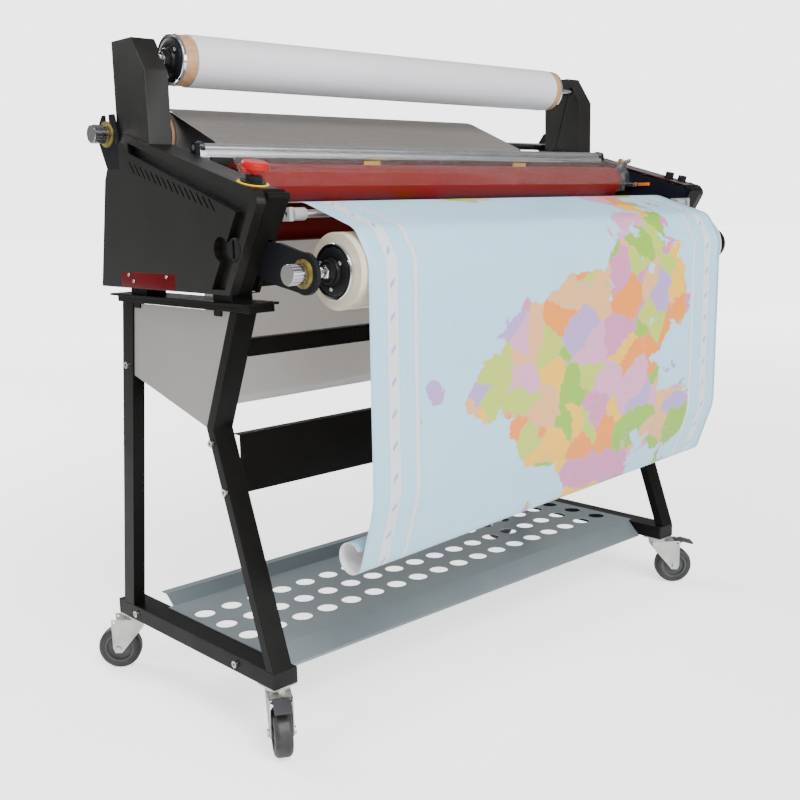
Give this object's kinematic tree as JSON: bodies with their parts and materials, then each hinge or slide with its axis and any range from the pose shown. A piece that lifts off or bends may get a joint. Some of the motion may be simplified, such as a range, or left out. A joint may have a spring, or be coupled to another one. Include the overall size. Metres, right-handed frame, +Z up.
{
  "type": "cold roll laminator",
  "caption": "Wide cold roll laminator on a rolling stand, with nip rollers between side cabinets, film rolls on shafts and a print hanging from the infeed.",
  "frame": {"origin": "on the floor under the centre of the overall box, with the casters at rest", "axes": "+X to the right along the rollers seen from the operator, +Y from the infeed side to the rear, +Z up"},
  "size_m": [1.31, 0.7454, 1.2265],
  "materials": {
    "stand_paint": "semi-gloss powder coat",
    "panel_paint": "satin powder coat",
    "shelf_paint": "satin powder coat",
    "black_plastic": "fine grain",
    "casing_plastic": "fine grain",
    "gloss_black": "polished",
    "side_steel": "satin powder coat",
    "tower_paint": "semi-gloss powder coat",
    "zinc_steel": "zinc plated",
    "bolt_steel": "zinc plated",
    "bright_steel": "ground and plated",
    "silicone": "smooth red silicone",
    "alu": "drawn, satin",
    "bronze": "sintered",
    "knob_alu": "fluted and anodised",
    "washer_yellow": "friction washer",
    "film_front": "translucent cream film over cardboard core",
    "film_top": "white film over cardboard core",
    "film_rear": "grey film over cardboard core",
    "clear_acrylic": "clear acrylic",
    "red_plastic": "moulded",
    "tyre_black": "solid tread on a grey hub",
    "pedal_grey": "moulded",
    "print_film": "printed sheet"
  },
  "bodies": {
    "chassis": {"bottom_rails": "stand_paint", "rail_end_caps": "black_plastic", "rear_legs": "stand_paint", "front_legs": "stand_paint", "top_rails": "stand_paint", "upper_cross_rail": "stand_paint", "lower_cross_panel": "stand_paint", "shelf_tray": "shelf_paint", "infill_panels": "panel_paint", "stand_bolts": "bolt_steel", "mount_plates": "stand_paint", "plate_spacers": "black_plastic", "caster_heads": "zinc_steel", "left_side_plate": "side_steel", "right_side_plate": "side_steel", "left_casing": "casing_plastic", "right_casing": "casing_plastic", "nose_covers": "gloss_black", "towers": "tower_paint", "base_tie": "side_steel", "lower_bearings": "bronze", "gearmotor": "black_plastic", "idler_brackets": "zinc_steel", "film_arms": "side_steel", "rear_forks": "side_steel", "brake_washers": "washer_yellow", "rear_web": "film_rear", "estop_base": "black_plastic", "print_sheet": "print_film"},
    "lower_roller": {"lower_roller_core": "bright_steel", "lower_roller_sleeve": "silicone"},
    "lift": {"lift_blocks": "bronze"},
    "upper_roller": {"upper_roller_core": "bright_steel", "upper_roller_sleeve": "silicone"},
    "pressure_knob": {"pressure_knob": "gloss_black"},
    "shield": {"shield_beam": "alu", "clear_shield": "clear_acrylic"},
    "idler": {"front_idler_bar": "alu"},
    "front_film": {"front_shaft": "bright_steel", "front_roll": "film_front"},
    "top_film": {"top_shaft": "bright_steel", "top_roll": "film_top"},
    "rear_film": {"rear_shaft": "bright_steel", "rear_roll": "film_rear"},
    "front_tension": {"front_tension_knob": "knob_alu"},
    "rear_tension": {"rear_tension_knob": "knob_alu"},
    "estop": {"estop_head": "red_plastic"},
    "speed_dial": {"speed_knob": "gloss_black"},
    "direction_dial": {"direction_knob": "gloss_black"},
    "run_key": {"run_button": "black_plastic"},
    "fork_front_left": {"caster_fork_front_left": "zinc_steel"},
    "wheel_front_left": {"caster_wheel_front_left": "tyre_black"},
    "pedal_front_left": {"brake_pedal_front_left": "pedal_grey"},
    "fork_front_right": {"caster_fork_front_right": "zinc_steel"},
    "wheel_front_right": {"caster_wheel_front_right": "tyre_black"},
    "pedal_front_right": {"brake_pedal_front_right": "pedal_grey"},
    "fork_rear_left": {"caster_fork_rear_left": "zinc_steel"},
    "wheel_rear_left": {"caster_wheel_rear_left": "tyre_black"},
    "fork_rear_right": {"caster_fork_rear_right": "zinc_steel"},
    "wheel_rear_right": {"caster_wheel_rear_right": "tyre_black"}
  },
  "joints": [
    {"name": "lower_roller_spin", "type": "hinge", "parent": "chassis", "child": "lower_roller", "pos_m": [0, -0.06041, 0.8963], "axis": [1, 0, 0], "continuous": true},
    {"name": "upper_roller_lift", "type": "slide", "parent": "chassis", "child": "lift", "axis": [0, 0, 1], "range_m": [0, 0.008]},
    {"name": "upper_roller_spin", "type": "hinge", "parent": "lift", "child": "upper_roller", "pos_m": [0, -0.06041, 0.9637], "axis": [1, 0, 0], "continuous": true},
    {"name": "pressure_knob_turn", "type": "hinge", "parent": "chassis", "child": "pressure_knob", "pos_m": [-0.61, -0.18641, 0.858], "axis": [1, 0, 0], "range_deg": [0, 90]},
    {"name": "shield_swing", "type": "hinge", "parent": "chassis", "child": "shield", "pos_m": [0, -0.00741, 1.0255], "axis": [1, 0, 0], "range_deg": [-100, 0]},
    {"name": "idler_spin", "type": "hinge", "parent": "chassis", "child": "idler", "pos_m": [0, -0.24741, 0.911], "axis": [1, 0, 0], "continuous": true},
    {"name": "front_film_spin", "type": "hinge", "parent": "chassis", "child": "front_film", "pos_m": [0, -0.30841, 0.821], "axis": [1, 0, 0], "continuous": true},
    {"name": "top_film_spin", "type": "hinge", "parent": "chassis", "child": "top_film", "pos_m": [0, 0.08959, 1.181], "axis": [1, 0, 0], "continuous": true},
    {"name": "rear_film_spin", "type": "hinge", "parent": "chassis", "child": "rear_film", "pos_m": [0, 0.19159, 1.058], "axis": [1, 0, 0], "continuous": true},
    {"name": "front_tension_turn", "type": "hinge", "parent": "front_film", "child": "front_tension", "pos_m": [-0.6, -0.30841, 0.821], "axis": [1, 0, 0], "continuous": true},
    {"name": "rear_tension_turn", "type": "hinge", "parent": "rear_film", "child": "rear_tension", "pos_m": [-0.6, 0.19159, 1.058], "axis": [1, 0, 0], "continuous": true},
    {"name": "estop_press", "type": "slide", "parent": "chassis", "child": "estop", "axis": [0, 0.2669, -0.9637], "range_m": [0, 0.004]},
    {"name": "speed_dial_turn", "type": "hinge", "parent": "chassis", "child": "speed_dial", "pos_m": [0.597, -0.18141, 0.96774], "axis": [0, -0.2669, 0.9637], "range_deg": [-135, 135]},
    {"name": "direction_dial_turn", "type": "hinge", "parent": "chassis", "child": "direction_dial", "pos_m": [0.597, -0.21441, 0.9586], "axis": [0, -0.2669, 0.9637], "range_deg": [-135, 135]},
    {"name": "run_key_press", "type": "slide", "parent": "chassis", "child": "run_key", "axis": [0, 0.2669, -0.9637], "range_m": [0, 0.002], "stiffness_N_per_m": 250, "springref_m": -0.001},
    {"name": "swivel_front_left", "type": "hinge", "parent": "chassis", "child": "fork_front_left", "pos_m": [-0.575, -0.18541, 0.1], "axis": [0, 0, 1], "continuous": true},
    {"name": "roll_front_left", "type": "hinge", "parent": "fork_front_left", "child": "wheel_front_left", "pos_m": [-0.594, -0.21832, 0.043], "axis": [-0.866, 0.5, 0], "continuous": true},
    {"name": "pedal_press_front_left", "type": "hinge", "parent": "fork_front_left", "child": "pedal_front_left", "pos_m": [-0.59725, -0.22395, 0.0996], "axis": [-0.866, 0.5, 0], "range_deg": [-12, 0]},
    {"name": "swivel_front_right", "type": "hinge", "parent": "chassis", "child": "fork_front_right", "pos_m": [0.575, -0.18541, 0.1], "axis": [0, 0, 1], "continuous": true},
    {"name": "roll_front_right", "type": "hinge", "parent": "fork_front_right", "child": "wheel_front_right", "pos_m": [0.60324, -0.21084, 0.043], "axis": [-0.6691, -0.7431, 0], "continuous": true},
    {"name": "pedal_press_front_right", "type": "hinge", "parent": "fork_front_right", "child": "pedal_front_right", "pos_m": [0.60807, -0.21519, 0.0996], "axis": [-0.6691, -0.7431, 0], "range_deg": [-12, 0]},
    {"name": "swivel_rear_left", "type": "hinge", "parent": "chassis", "child": "fork_rear_left", "pos_m": [-0.575, 0.29159, 0.1], "axis": [0, 0, 1], "continuous": true},
    {"name": "roll_rear_left", "type": "hinge", "parent": "fork_rear_left", "child": "wheel_rear_left", "pos_m": [-0.60324, 0.31702, 0.043], "axis": [0.6691, 0.7431, 0], "continuous": true},
    {"name": "swivel_rear_right", "type": "hinge", "parent": "chassis", "child": "fork_rear_right", "pos_m": [0.575, 0.29159, 0.1], "axis": [0, 0, 1], "continuous": true},
    {"name": "roll_rear_right", "type": "hinge", "parent": "fork_rear_right", "child": "wheel_rear_right", "pos_m": [0.5684, 0.32901, 0.043], "axis": [0.9848, 0.1736, 0], "continuous": true}
  ],
  "couplings": [
    {"joint": "upper_roller_spin", "follows": "lower_roller_spin", "ratio": -1},
    {"joint": "pressure_knob_turn", "follows": "upper_roller_lift", "rad_per_m": 196.15}
  ]
}
